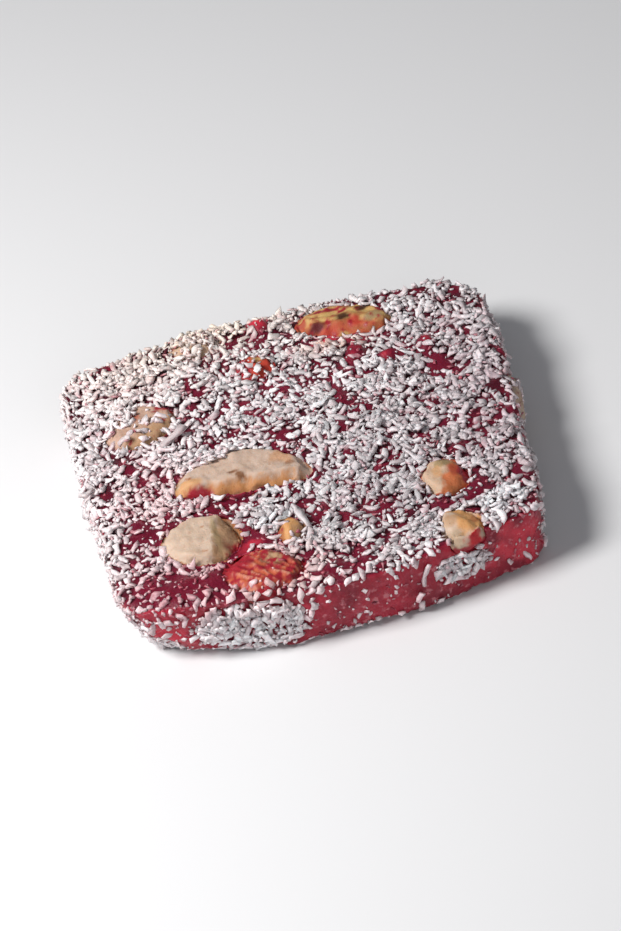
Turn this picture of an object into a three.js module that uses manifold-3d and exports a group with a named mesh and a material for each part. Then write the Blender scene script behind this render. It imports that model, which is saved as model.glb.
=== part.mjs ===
// One slice of cezerye: a chewy fruit jelly slab, cut by hand and set with whole and broken nuts.
// Millimetres, +Z up. The slice lies flat on z = 0. +X runs left to right along the front edge, and +Y to
// the back. The knife went through jelly and nuts alike, so each nut ends in a cut face just above the jelly.

import * as THREE from "three";
import { mergeVertices } from "three/addons/utils/BufferGeometryUtils.js";
import Module from "manifold-3d";

// ---- Driving dimensions of the slab -------------------------------------------------------------

const THICKNESS = 10.5;
const TOP_ROUND = 1.1; // radius of the edge between the top and a wall
const BOTTOM_ROUND = 0.9;
const WALL_BULGE = 0.35; // how far the soft walls stand out at half height
const NUT_PROUD = 1.0; // how far a cut nut stands above the jelly
const POCKET_GAP = 0.3; // between a nut and the jelly that holds it

// The slow waves of the top: their height, and the lengths over which they swing.
const TOP_WAVES = { height: 0.32, across: 9.5, along: 11, slanted: 6.2, slantedShare: 0.45 };

// The slow waves of the walls: count is how many go round the slice, lean how much they shift with height.
const WALL_WAVES = [
  { depth: 0.28, count: 7, lean: 2.5, start: 0 },
  { depth: 0.17, count: 13, lean: -3, start: 1 },
];

// The four corners, counterclockwise from the front left. round is how much of each side the corner takes;
// bow is how far the side that leaves the corner curves out, and peak where along the side it is deepest.
const CORNERS = [
  { x: -33.7, y: -31.2, round: 2.6, bow: 5.4, peak: 0.44 },
  { x: 30.2, y: -30.4, round: 4.2, bow: 0.9, peak: 0.5 },
  { x: 35.4, y: 32.6, round: 8.0, bow: 3.8, peak: 0.5 },
  { x: -33.3, y: 31.0, round: 6.0, bow: 0.3, peak: 0.5 },
];

// The left wall leans in towards the bottom, most of all at the front left corner.
const UNDERCUT = { corner: 4.4, side: 1.2, reach: 13, power: 1.4 };

// ---- Nuts -----------------------------------------------------------------------------------------
// at is the nut's middle, size its length, width and height, turn its heading in degrees, and bend the
// sideways curve of a cashew.

const NUTS = [
  { name: "cashew_middle", at: [-10.4, -4.9, 8.0], size: [22.2, 11.2, 11.6], turn: -7, bend: 2.6 },
  { name: "hazelnut_front_left", at: [-19.1, -19.0, 7.9], size: [12.8, 12.8, 12.6], turn: 20 },
  { name: "cashew_back_left", at: [-22.8, 13.4, 8.2], size: [12.4, 9.0, 10.4], turn: 27, bend: 1.0 },
  { name: "nut_piece_right", at: [18.7, -17.5, 9.2], size: [7.8, 9.0, 7.0], turn: -18, broken: true },
  { name: "nut_piece_front_right", at: [18.3, -30.0, 9.4], size: [6.8, 8.6, 6.8], turn: -12, broken: true },
  { name: "walnut_front", at: [-12.1, -30.0, 8.0], size: [12.4, 11.2, 10.2], turn: -14, broken: true },
  { name: "nut_piece_front", at: [-6.0, -21.4, 9.6], size: [4.0, 5.4, 5.2], turn: -10, broken: true },
  { name: "nut_piece_back", at: [-3.1, 21.8, 9.4], size: [6.4, 5.8, 6.0], turn: -20, broken: true },
  { name: "hazelnut_back_edge", at: [-11.2, 31.2, 6.6], size: [12.6, 8.6, 9.2], turn: 5 },
  { name: "almond_back_right", at: [13.0, 28.4, 8.2], size: [17.0, 8.8, 9.8], turn: -15, bend: 0.6 },
  { name: "cashew_right_wall", at: [31.0, 3.4, 5.6], size: [15.6, 8.4, 8.6], turn: 84, bend: -1.6 },
  { name: "nut_piece_back_wall", at: [27.0, 31.6, 5.2], size: [9.4, 7.2, 7.6], turn: -16, broken: true },
  { name: "cashew_under_middle", at: [8.2, 1.4, 2.9], size: [20.6, 10.2, 9.4], turn: 36, bend: 2.4 },
  { name: "hazelnut_under_left", at: [-23.2, 25.6, 1.6], size: [11.8, 11.2, 9.6], turn: 0 },
  { name: "hazelnut_under_front", at: [4.6, -22.4, 3.1], size: [12.4, 11.8, 10.4], turn: 60 },
];

// How uneven a nut is, as a share of its size.
const WHOLE_ROUGHNESS = 0.035;
const BROKEN_ROUGHNESS = 0.1;

// ---- Mesh fineness --------------------------------------------------------------------------------

const ROUND_STEPS = 84; // points round the outline
const TOP_RINGS = 7; // rings between the top's rim and its middle
const EDGE_STEPS = 3; // rings across a rounded edge
const WALL_STEPS = 3;
const NUT_SEGMENTS = [13, 8];
const SMALL_NUT_SEGMENTS = [9, 6];
const SMALL_NUT = 8; // a nut shorter than this gets the coarser mesh

// ---- Materials ------------------------------------------------------------------------------------

const jelly = new THREE.MeshStandardMaterial({ color: 0x7e1c2d, roughness: 0.38, metalness: 0 });
const nutFlesh = new THREE.MeshStandardMaterial({ color: 0xd9b88c, roughness: 0.6, metalness: 0 });

// ---- Outline --------------------------------------------------------------------------------------

// The point a share s along the bowed side from corner a to corner b.
function sidePoint(a, b, s) {
  const along = new THREE.Vector2(b.x - a.x, b.y - a.y);
  const outward = new THREE.Vector2(along.y, -along.x).normalize();
  const skewed = s ** (Math.log(0.5) / Math.log(a.peak));
  const bow = a.bow * Math.sin(Math.PI * skewed);
  return new THREE.Vector2(a.x, a.y).addScaledVector(along, s).addScaledVector(outward, bow);
}

// The closed outline as evenly spaced points: bowed sides, joined by rounded corners.
function outlinePoints() {
  const stepsPerSide = 24;
  const path = new THREE.Path();
  CORNERS.forEach((corner, i) => {
    const next = CORNERS[(i + 1) % CORNERS.length];
    const length = Math.hypot(next.x - corner.x, next.y - corner.y);
    const from = corner.round / length;
    const to = 1 - next.round / length;
    const side = [];
    for (let k = 0; k <= stepsPerSide; k++) {
      side.push(sidePoint(corner, next, from + ((to - from) * k) / stepsPerSide));
    }
    if (i === 0) path.moveTo(side[0].x, side[0].y);
    path.splineThru(side.slice(1));
    const following = CORNERS[(i + 2) % CORNERS.length];
    const nextLength = Math.hypot(following.x - next.x, following.y - next.y);
    const landing = sidePoint(next, following, next.round / nextLength);
    path.quadraticCurveTo(next.x, next.y, landing.x, landing.y);
  });
  return path.getSpacedPoints(ROUND_STEPS).slice(0, ROUND_STEPS);
}

// The outward direction at each point of a counterclockwise outline.
function outwardDirections(points) {
  return points.map((_, i) => {
    const before = points[(i - 1 + points.length) % points.length];
    const after = points[(i + 1) % points.length];
    return new THREE.Vector2(after.y - before.y, before.x - after.x).normalize();
  });
}

const outline = outlinePoints();
const outward = outwardDirections(outline);

// ---- Slab -----------------------------------------------------------------------------------------

function topHeight(x, y) {
  const { height, across, along, slanted, slantedShare } = TOP_WAVES;
  const longWave = Math.sin(x / across + 0.7) * Math.cos(y / along - 0.5);
  const shortWave = Math.sin((x + 1.4 * y) / slanted);
  return THICKNESS + height * (longWave + slantedShare * shortWave);
}

// How far the wall at outline point i stands out from the outline, at a share h of the height.
function wallOffset(i, h) {
  const { x, y } = outline[i];
  const turn = (2 * Math.PI * i) / outline.length;
  const swings = WALL_WAVES.map((w) => w.depth * Math.sin(w.count * turn + w.lean * h + w.start));
  const wave = swings.reduce((sum, swing) => sum + swing, 0);
  const cornerDistance = Math.hypot(x - CORNERS[0].x, y - CORNERS[0].y);
  const cornerShare = Math.exp(-((cornerDistance / UNDERCUT.reach) ** 2));
  const leftShare = Math.max(0, -outward[i].x);
  const undercut = Math.max(UNDERCUT.corner * cornerShare, UNDERCUT.side * leftShare);
  return WALL_BULGE * Math.sin(Math.PI * h) + wave - undercut * (1 - h) ** UNDERCUT.power;
}

// One ring of the slab's skin: outline points moved in by inset, at height z, or z below the top.
function wallRing(inset, heightOf, grow) {
  return outline.map((point, i) => {
    const z = heightOf(point);
    const out = wallOffset(i, THREE.MathUtils.clamp(z / THICKNESS, 0, 1)) + grow - inset;
    return new THREE.Vector3(point.x + outward[i].x * out, point.y + outward[i].y * out, z);
  });
}

// The slab's rings from its bottom rim, up the wall and in over the top. grow makes a larger slab that
// is thicker and wider by that much, but still stands on z = 0.
function slabRings(grow) {
  const rings = [];
  for (let k = 0; k <= EDGE_STEPS; k++) {
    const angle = (k / EDGE_STEPS) * (Math.PI / 2);
    const z = BOTTOM_ROUND * (1 - Math.cos(angle));
    rings.push(wallRing(BOTTOM_ROUND * (1 - Math.sin(angle)), () => z, grow));
  }
  for (let k = 1; k < WALL_STEPS; k++) {
    const share = k / WALL_STEPS;
    rings.push(
      wallRing(0, (p) => THREE.MathUtils.lerp(BOTTOM_ROUND, topHeight(p.x, p.y) - TOP_ROUND, share), grow),
    );
  }
  for (let k = 0; k <= EDGE_STEPS; k++) {
    const angle = (k / EDGE_STEPS) * (Math.PI / 2);
    const drop = TOP_ROUND * (1 - Math.sin(angle));
    rings.push(
      wallRing(TOP_ROUND * (1 - Math.cos(angle)), (p) => topHeight(p.x, p.y) - drop + grow, grow),
    );
  }
  const rim = rings[rings.length - 1];
  for (let k = 1; k < TOP_RINGS; k++) {
    const share = 1 - k / TOP_RINGS;
    rings.push(
      rim.map((p) => {
        const x = p.x * share;
        const y = p.y * share;
        return new THREE.Vector3(x, y, topHeight(x, y) + grow);
      }),
    );
  }
  return rings;
}

// A closed geometry over rings of equal length, with a fan at each end.
function skinOverRings(rings, firstEnd, lastEnd) {
  const count = rings[0].length;
  const points = [...rings.flat(), firstEnd, lastEnd];
  const first = points.length - 2;
  const last = points.length - 1;
  const lastRing = (rings.length - 1) * count;
  const faces = [];
  for (let i = 0; i < count; i++) {
    const j = (i + 1) % count;
    faces.push(first, j, i);
    for (let row = 0; row < lastRing; row += count) {
      faces.push(row + i, row + j, row + count + j);
      faces.push(row + i, row + count + j, row + count + i);
    }
    faces.push(lastRing + i, lastRing + j, last);
  }
  return new THREE.BufferGeometry().setFromPoints(points).setIndex(faces);
}

function slabGeometry(grow) {
  const bottomMiddle = new THREE.Vector3(0, 0, 0);
  const topMiddle = new THREE.Vector3(0, 0, topHeight(0, 0) + grow);
  return skinOverRings(slabRings(grow), bottomMiddle, topMiddle);
}

// ---- Nuts -----------------------------------------------------------------------------------------

// Keeps a bent nut's middle about where an unbent one's is.
const BEND_BALANCE = 0.35;

// How far a nut stands out at a point of the unit ball, about 1. Each heading gives a nut other lumps.
function lump({ broken, turn }, { x, y, z }) {
  const roughness = broken ? BROKEN_ROUGHNESS : WHOLE_ROUGHNESS;
  return 1 + roughness * Math.sin(3.1 * x + turn) * Math.cos(2.7 * y + 1.9 * z + turn);
}

// A whole nut in its place: a ball drawn out to the nut's size, lumpy, and curved sideways if it has a bend.
function nutGeometry(nut, grow) {
  const { bend = 0, turn } = nut;
  const [length, width, height] = nut.size.map((size) => size / 2 + grow);
  const segments = nut.size[0] < SMALL_NUT ? SMALL_NUT_SEGMENTS : NUT_SEGMENTS;
  const geometry = new THREE.SphereGeometry(1, ...segments);
  const position = geometry.getAttribute("position");
  const point = new THREE.Vector3();
  for (let i = 0; i < position.count; i++) {
    point.fromBufferAttribute(position, i);
    point.multiplyScalar(lump(nut, point));
    const sideways = bend * (BEND_BALANCE - point.x ** 2);
    position.setXYZ(i, point.x * length, point.y * width + sideways, point.z * height);
  }
  geometry.rotateZ(THREE.MathUtils.degToRad(turn));
  geometry.translate(...nut.at);
  return geometry;
}

// ---- Solids ---------------------------------------------------------------------------------------

const wasm = await Module();
wasm.setup();

function solidFrom(geometry) {
  const bare = geometry.clone();
  bare.deleteAttribute("normal");
  bare.deleteAttribute("uv");
  const merged = mergeVertices(bare, 1e-4);
  return new wasm.Manifold(
    new wasm.Mesh({
      numProp: 3,
      vertProperties: merged.getAttribute("position").array,
      triVerts: new Uint32Array(merged.index.array),
    }),
  );
}

function meshFrom(solid, name, material) {
  const { vertProperties, triVerts } = solid.getMesh();
  const geometry = new THREE.BufferGeometry();
  geometry.setAttribute("position", new THREE.BufferAttribute(vertProperties, 3));
  geometry.setIndex(new THREE.BufferAttribute(triVerts, 1));
  geometry.computeVertexNormals();
  const mesh = new THREE.Mesh(geometry, material);
  mesh.name = name;
  return mesh;
}

// ---- The slice ------------------------------------------------------------------------------------

const slice = new THREE.Group();
const knifeSpace = solidFrom(slabGeometry(NUT_PROUD));
let slab = solidFrom(slabGeometry(0));
for (const nut of NUTS) {
  const cutNut = solidFrom(nutGeometry(nut, 0)).intersect(knifeSpace);
  slab = slab.subtract(solidFrom(nutGeometry(nut, POCKET_GAP)));
  slice.add(meshFrom(cutNut, nut.name, nutFlesh));
}
slice.add(meshFrom(slab, "jelly_slab", jelly));

// The origin is under the middle of the slice.
const middle = new THREE.Box3().setFromObject(slice, true).getCenter(new THREE.Vector3());
slice.position.set(-middle.x, -middle.y, 0);

export default slice;
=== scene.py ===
"""The looks of one slice of cezerye: dark red jelly set with cut nuts, in a coat of desiccated coconut.

Shapes are worked out in millimetres and become metres when a mesh is made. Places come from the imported
model: from a node's box, or as shares of the slab's half sizes.
"""

import math

import bpy
import numpy as np
from mathutils import Matrix, Vector
from mathutils.bvhtree import BVHTree
from mathutils.kdtree import KDTree


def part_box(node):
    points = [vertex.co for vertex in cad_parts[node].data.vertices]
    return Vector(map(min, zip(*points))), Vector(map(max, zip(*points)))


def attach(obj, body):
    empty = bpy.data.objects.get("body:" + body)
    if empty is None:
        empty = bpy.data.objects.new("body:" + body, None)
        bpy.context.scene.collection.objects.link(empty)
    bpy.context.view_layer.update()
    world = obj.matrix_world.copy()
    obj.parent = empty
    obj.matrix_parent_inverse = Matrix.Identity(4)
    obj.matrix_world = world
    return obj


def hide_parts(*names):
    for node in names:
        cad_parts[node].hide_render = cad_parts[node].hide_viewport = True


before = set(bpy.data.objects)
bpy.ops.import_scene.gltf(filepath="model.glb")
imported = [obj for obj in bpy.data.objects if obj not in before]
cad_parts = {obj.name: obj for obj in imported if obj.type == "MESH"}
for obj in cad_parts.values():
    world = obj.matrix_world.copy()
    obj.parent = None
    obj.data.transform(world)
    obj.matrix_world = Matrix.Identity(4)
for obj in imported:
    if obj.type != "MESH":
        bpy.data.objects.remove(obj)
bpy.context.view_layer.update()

MM = 0.001
SLAB = "jelly_slab"
NUTS = sorted(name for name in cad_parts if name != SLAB)

# ---- Sizes, in millimetres ----

# How finely a surface is made anew: the size of its cells, and how often it is smoothed.
SKIN_MESH = (0.6, 3)  # the smooth skin over jelly and nuts that the coat is measured on
JELLY_MESH = (0.42, 3)
NUT_MESH = (0.27, 2)
SMOOTHING = 0.5  # how far one pass moves a point towards its neighbours
NUT_GROWTH = 0.34  # how far a nut's flank swells to meet the jelly round it
COAT_BED = 0.5  # how far the jelly lies below its outline where the coat is thick
PILE_LIMIT = 1.3  # how high above the jelly a flake can lie
CLEARANCE = {"jelly": 0.16, "nut": 0.1, "flake": 0.02}  # above the floor

# Where each run of random draws starts.
SEEDS = {
    "jelly": 1, "patches": 11, "ridges": 70, "facets": 71, "brightness": 90, "nuts": 100, "landing": 500,
    "flakes": 510,
}
NUT_SEEDS = 10  # how many of them each nut has to itself


def centred(box):
    """A node's box as its middle and half its size."""
    low, high = (np.array(corner) / MM for corner in box)
    return (low + high) / 2, (high - low) / 2


slab_middle, slab_half = centred(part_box(SLAB))


def place(u, v, h=1):
    """The point at shares u (left to right) and v (front to back), -1 to 1, and h of the height, 0 to 1."""
    share = np.array([u, v, 2 * h - 1])
    return slab_middle + share * slab_half


# ---- Camera, light and floor ----

VIEW_AZIMUTH, VIEW_ELEVATION, VIEW_ROLL = -6, 36, -10  # degrees
VIEW_DISTANCE = 0.821  # metres
LENS, SENSOR_WIDTH = 208, 36  # millimetres
NEAREST_SEEN = 0.05  # metres

# Each lamp: its name, azimuth and elevation in degrees, distance and size in metres, watts and colour.
LAMPS = [
    ("key", -80, 48, 0.42, 0.18, 2.45, (1, 0.99, 0.975)),
    ("fill", 5, 20, 0.8, 0.6, 1.6, (0.97, 0.98, 1)),
]
ROOM_LIGHT, ROOM_STRENGTH = (0.92, 0.94, 1), 0.18
FLOOR_HALF = 3000  # millimetres
FLOOR_COLOUR, FLOOR_ROUGHNESS = (0.7, 0.7, 0.71), 0.8


def direction(azimuth, elevation):
    """The unit vector from the object towards a viewer; azimuth 0 is the front and 90 the right."""
    a, e = math.radians(azimuth), math.radians(elevation)
    return Vector((math.sin(a) * math.cos(e), -math.cos(a) * math.cos(e), math.sin(e)))


def aim(thing, target, back, distance, roll=0.0):
    """Puts a camera or light at the distance from target along back, and turns it to face the target."""
    turn = (-back).to_track_quat("-Z", "Y").to_matrix().to_4x4()
    thing.matrix_world = (
        Matrix.Translation(target + back * distance) @ turn @ Matrix.Rotation(math.radians(roll), 4, "Z")
    )


def make_camera():
    camera = show(bpy.data.cameras.new("camera"))
    camera.data.lens = LENS
    camera.data.sensor_width = SENSOR_WIDTH
    camera.data.clip_start = NEAREST_SEEN
    target = Vector(slab_middle * MM)
    aim(camera, target, direction(VIEW_AZIMUTH, VIEW_ELEVATION), VIEW_DISTANCE, VIEW_ROLL)
    bpy.context.scene.camera = camera


def make_lamp(name, azimuth, elevation, distance, size, watts, colour):
    """A soft round lamp that faces the middle of the slab."""
    lamp = show(bpy.data.lights.new(name, "AREA"))
    lamp.data.shape = "DISK"
    lamp.data.size = size
    lamp.data.energy = watts
    lamp.data.color = colour
    aim(lamp, Vector(slab_middle * MM), direction(azimuth, elevation), distance)


def make_world():
    world = bpy.data.worlds.new("studio")
    world.use_nodes = True
    background = world.node_tree.nodes["Background"]
    background.inputs["Color"].default_value = (*ROOM_LIGHT, 1)
    background.inputs["Strength"].default_value = ROOM_STRENGTH
    bpy.context.scene.world = world


# ---- Arrays and meshes ----


def read(collection, field, kind=np.float32):
    """One field of all things in a collection, as rows of three."""
    values = np.empty(len(collection) * 3, kind)
    collection.foreach_get(field, values)
    return values.reshape(-1, 3)


def points_of(mesh):
    """A mesh's points in millimetres."""
    return read(mesh.vertices, "co").astype(float) / MM


def normals_of(mesh):
    return read(mesh.vertices, "normal").astype(float)


def triangles_of(mesh):
    mesh.calc_loop_triangles()
    return read(mesh.loop_triangles, "vertices", np.int32)


def set_points(mesh, points):
    mesh.vertices.foreach_set("co", (points * MM).astype(np.float32).ravel())
    mesh.update()


def mesh_from(name, points, faces):
    """A mesh from an array of points in millimetres and an array of faces with equal numbers of corners."""
    corners = faces.shape[1]
    mesh = bpy.data.meshes.new(name)
    mesh.vertices.add(len(points))
    mesh.loops.add(faces.size)
    mesh.polygons.add(len(faces))
    mesh.loops.foreach_set("vertex_index", faces.astype(np.int32).ravel())
    mesh.polygons.foreach_set("loop_start", np.arange(0, faces.size, corners, dtype=np.int32))
    set_points(mesh, points)
    mesh.validate()
    return mesh


def show(data):
    """An object of this mesh, camera or lamp, in the scene and with the same name."""
    thing = bpy.data.objects.new(data.name, data)
    bpy.context.scene.collection.objects.link(thing)
    return thing


def joined(meshes):
    """The points in millimetres and the triangles of several meshes together."""
    points = [points_of(mesh) for mesh in meshes]
    starts = np.cumsum([0] + [len(part) for part in points[:-1]])
    faces = [triangles_of(mesh) + start for mesh, start in zip(meshes, starts)]
    return np.concatenate(points), np.concatenate(faces)


def evened(name, nodes, cell, passes):
    """An evenly meshed, slightly softened skin over these nodes."""
    rough_mesh = mesh_from("rough", *joined([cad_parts[node].data for node in nodes]))
    rough = show(rough_mesh)
    remesh = rough.modifiers.new("remesh", "REMESH")
    remesh.mode = "VOXEL"
    remesh.voxel_size = cell * MM
    smooth = rough.modifiers.new("smooth", "SMOOTH")
    smooth.factor = SMOOTHING
    smooth.iterations = passes
    graph = bpy.context.evaluated_depsgraph_get()
    mesh = bpy.data.meshes.new_from_object(rough.evaluated_get(graph))
    bpy.data.objects.remove(rough)
    bpy.data.meshes.remove(rough_mesh)
    mesh.name = name
    mesh.shade_smooth()
    return mesh


def store(mesh, name, values):
    """Keeps one number or one colour for each vertex, for the materials to read."""
    if values.ndim == 1:
        mesh.attributes.new(name, "FLOAT", "POINT").data.foreach_set("value", values.astype(np.float32))
        return
    colours = np.ones((len(values), 4), np.float32)
    colours[:, :3] = values
    mesh.attributes.new(name, "FLOAT_COLOR", "POINT").data.foreach_set("color", colours.ravel())


# ---- Small sums ----

WAVES = 28  # how many waves make up a swell
WAVE_LENGTHS = (0.7, 1.7)  # and how long they are, as a share of its length
TINY = 1e-9


def ramp(values, low, high):
    """0 below low, 1 above high and smooth between. low may be the larger one."""
    share = np.clip((values - low) / (high - low), 0, 1)
    return share * share * (3 - 2 * share)


def swell(points, length, seed):
    """Smooth random relief at the points, mostly within -1 to 1, with bumps about length apart."""
    rng = np.random.default_rng(seed)
    axes = rng.normal(size=(3, WAVES))
    axes /= np.linalg.norm(axes, axis=0)
    pitch = 2 * math.pi / (length * rng.uniform(*WAVE_LENGTHS, WAVES))
    phase = rng.uniform(0, 2 * math.pi, WAVES)
    return np.sin(points @ (axes * pitch) + phase).sum(axis=1) / math.sqrt(WAVES)


def layered(points, layers, seed):
    """Swells on top of each other, each given by how high it is and how far apart its bumps are."""
    return sum(height * swell(points, length, seed + k) for k, (height, length) in enumerate(layers))


def unit(vectors):
    return vectors / np.maximum(np.linalg.norm(vectors, axis=-1, keepdims=True), TINY)


def level_vector(heading):
    """The level unit vector with a heading in degrees: 0 points right and 90 to the back."""
    angle = math.radians(heading)
    return np.array([math.cos(angle), math.sin(angle)])


def nearness(points, centre, radii):
    """1 at the centre, fading to nearly 0 about one and a half radii away."""
    offset = (points - centre) / np.array(radii)
    return np.exp(-(offset**2).sum(axis=1))


def total_at(points, spots):
    """What the rows of a table of places come to at each point."""
    return sum(amount * nearness(points, place(*where), radii) for where, radii, amount in spots)


def tinted(colours, colour, share):
    """The colours, mixed with one more by a share for each."""
    return colours + (np.array(colour) - colours) * np.reshape(share, (-1, 1))


# ---- The skin ----


class Skin:
    """The outer surface over jelly and nuts, for asking how deep a point is and which way is out."""

    def __init__(self):
        mesh = evened("skin", [SLAB, *NUTS], *SKIN_MESH)
        self.normals = normals_of(mesh)
        self.faces = triangles_of(mesh)
        self.tree = BVHTree.FromPolygons(points_of(mesh).tolist(), self.faces.tolist())

    def nearest(self, points):
        """The distance from each point to the skin, and the skin's outward normal there."""
        distances = np.empty(len(points))
        normals = np.empty((len(points), 3))
        for i, point in enumerate(points):
            _, _, face, distances[i] = self.tree.find_nearest(point)
            normals[i] = self.normals[self.faces[face]].sum(axis=0)
        return distances, unit(normals)

    def outside(self, points, normals, facing, depths):
        """How much each point lies on the outside, by how it faces and how deep it is, and the way out."""
        depth, outward = self.nearest(points)
        return ramp((normals * outward).sum(axis=1), *facing) * ramp(depth, *depths), outward


# ---- Material building ----


class Paint:
    """A node material being made. Each method adds a node and gives back its output socket."""

    def __init__(self, name):
        self.material = bpy.data.materials.new(name)
        self.material.use_nodes = True
        self.tree = self.material.node_tree
        self.shader = self.tree.nodes["Principled BSDF"]

    def node(self, kind, inputs, output, **settings):
        made = self.tree.nodes.new(kind)
        for name, value in settings.items():
            setattr(made, name, value)
        for socket, value in inputs.items():
            self.plug(made.inputs[socket], value)
        return made.outputs[output]

    def plug(self, socket, value):
        if isinstance(value, bpy.types.NodeSocket):
            self.tree.links.new(value, socket)
        elif isinstance(value, tuple) and len(value) == 3 and socket.type == "RGBA":
            socket.default_value = (*value, 1.0)
        else:
            socket.default_value = value

    def set(self, **values):
        """Sets or links the shader's sockets, with underscores for the spaces in their names."""
        for name, value in values.items():
            self.plug(self.shader.inputs[name.replace("_", " ")], value)

    def where(self):
        return self.node("ShaderNodeTexCoord", {}, "Object")

    def noise(self, pitch, detail=3.0):
        """Noise from 0 to 1 with features about pitch millimetres across."""
        inputs = {"Vector": self.where(), "Scale": 1 / (pitch * MM), "Detail": detail, "Roughness": 0.55}
        return self.node("ShaderNodeTexNoise", inputs, "Fac")

    def cells(self, pitch):
        """The distance to the nearest of many scattered points, about pitch millimetres apart."""
        inputs = {"Vector": self.where(), "Scale": 1 / (pitch * MM)}
        return self.node("ShaderNodeTexVoronoi", inputs, "Distance")

    def kept(self, name, output="Fac"):
        """What the mesh keeps under this name."""
        return self.node("ShaderNodeAttribute", {}, output, attribute_name=name)

    def window(self, value, low, high, to_low=0.0, to_high=1.0):
        """to_low below low, to_high above high and smooth between."""
        inputs = {"Value": value, "From Min": low, "From Max": high, "To Min": to_low, "To Max": to_high}
        return self.node("ShaderNodeMapRange", inputs, "Result", interpolation_type="SMOOTHSTEP")

    def times(self, a, b):
        return self.node("ShaderNodeMath", {0: a, 1: b}, "Value", operation="MULTIPLY")

    def plus(self, a, b):
        return self.node("ShaderNodeMath", {0: a, 1: b}, "Value", operation="ADD")

    def blend(self, share, first, second, mode="MIX"):
        """The first colour, mixed or multiplied with the second by a share."""
        made = self.tree.nodes.new("ShaderNodeMix")
        made.data_type = "RGBA"
        made.blend_type = mode
        for socket, value in zip((made.inputs[0], made.inputs[6], made.inputs[7]), (share, first, second)):
            self.plug(socket, value)
        return made.outputs[2]

    def bump(self, height, depth):
        """A normal from a height of 0 to 1, whose full depth is given in millimetres."""
        inputs = {"Height": height, "Distance": depth * MM, "Strength": 1.0}
        return self.node("ShaderNodeBump", inputs, "Normal")


# ---- The coat's thickness ----

# How thickly each side is coated: the area of the flakes that fall on each unit of surface.
COAT = {"top": 1.65, "under": 0.8, "left": 1.8, "right": 1.0, "front": 0.06, "back": 0.6}
THICKEST = 3.4
PATCHES = [(0.48, 8), (0.5, 3.6)]  # how unevenly it lies, and how far apart its patches are in millimetres
TOP_TURN = (0.35, 0.8)  # how far up a normal points where a wall turns into the top
SIDE_SHARPNESS = 4  # how sharply one wall's coat changes into the next one's

# Places that are more or less coated. In this table and those like it a row is the place in shares, with
# its height where that isn't the top; the radii in millimetres; and how much.
SPOTS = [
    ((-0.66, -0.8), (10, 7, 5), -1.75),  # sparse front left
    ((-0.7, -0.25), (7, 16, 5), -0.65),  # and up the left of the top
    ((-0.8, 0.08), (4, 3, 4), 0.35),  # but for one spot
    ((-0.1, 0.4), (26, 8, 5), -0.15),  # and across behind the cashew
    ((-0.25, -0.93), (14, 4, 4), -0.9),  # and along the front
    ((0.35, -0.98), (14, 3, 3), -0.9),  # on to the right
    ((0.88, -0.93), (7, 5, 4), -2.4),  # bare at the front right corner
    ((-0.98, -0.1, 0.9), (2.5, 32, 5), 0.6),  # white fringe on the left edge
    ((-0.75, 0.7), (16, 14, 5), 0.35),  # white back left
    ((-0.36, -0.31), (9, 1.1, 3), -2),  # bare in front of the middle cashew
    ((-0.42, -0.62), (3, 3.4, 3), -2.6),  # bare between hazelnut and walnut
    ((-0.36, -0.57), (2.2, 2, 3), -2.6),  # and just behind
    ((0.93, -0.95, 0.5), (5, 5, 6), -1.6),  # bare round the front right corner
    ((-0.03, 0.9), (1.6, 1.6, 3), -2.6),  # four bare red spots near the back
    ((0.34, 0.53), (1.6, 1.8, 3), -2.8),
    ((0.48, 0.46), (2.3, 1.1, 3), -3),
    ((0.66, 0.48), (1.4, 1.5, 3), -3),
    ((0.58, 0.46), (9, 6, 4), 0.45),  # with thick coat between them
    ((0.2, 0.34), (1.6, 5, 3), -0.8),  # and a thin streak on their left
    ((0.5, -0.64), (3.2, 1, 3), -1.6),  # bare in front of the right nut pieces
    ((0.52, -0.92, 0.9), (4, 2.4, 3), -1.6),
    ((0.26, 0.66), (4, 2, 3), -1.5),  # and in front of the nut at the back right
    ((0.45, 0.95, 0.5), (9, 3, 4), 1.2),  # thick in places on the back wall
    ((-0.55, 0.95, 0.45), (7, 3, 3), 1),
    ((0.98, -0.45, 0.5), (3, 9, 4), 0.8),  # and on the right wall
    ((0.98, 0.55, 0.5), (3, 7, 4), 0.9),
]

# Clumps of coconut, and how much falls there.
CLUMPS = [
    ((-0.48, -0.98, 0.44), (8.8, 5, 4.6), 4),  # low on the front wall
    ((0.46, -0.9, 0.49), (4.4, 4, 2.3), 4),
    ((-0.8, -0.96, 0.75), (9, 5, 5), 0.4),  # the top's thin coat, carried on over its front edge
    ((-0.3, -0.98, 0.9), (7, 3.5, 3), 0.6),
    ((0.69, -0.7), (3.4, 3, 3), 3),
    ((-0.27, -0.5), (2.4, 2.2, 3), 3),
    ((-0.46, 0.05), (5.2, 2.8, 3), 3),  # on the back of the middle cashew
    ((-0.8, 0.5), (5, 3, 3), 2.4),  # and on the left of the nut at the back left
]
CLUMP_EDGE = (0.25, 0.6)  # the nearness to a clump at which it begins and is whole


def side_shares(normals):
    """For each normal, how much it belongs to each side of the slab."""
    top = ramp(normals[:, 2], *TOP_TURN)
    under = ramp(-normals[:, 2], *TOP_TURN)
    wall = 1 - top - under
    facing = {"left": -normals[:, 0], "right": normals[:, 0], "front": -normals[:, 1], "back": normals[:, 1]}
    strength = {side: np.maximum(value, 0) ** SIDE_SHARPNESS for side, value in facing.items()}
    total = np.maximum(sum(strength.values()), TINY)
    shares = {side: wall * value / total for side, value in strength.items()}
    return {"top": top, "under": under, **shares}


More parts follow.
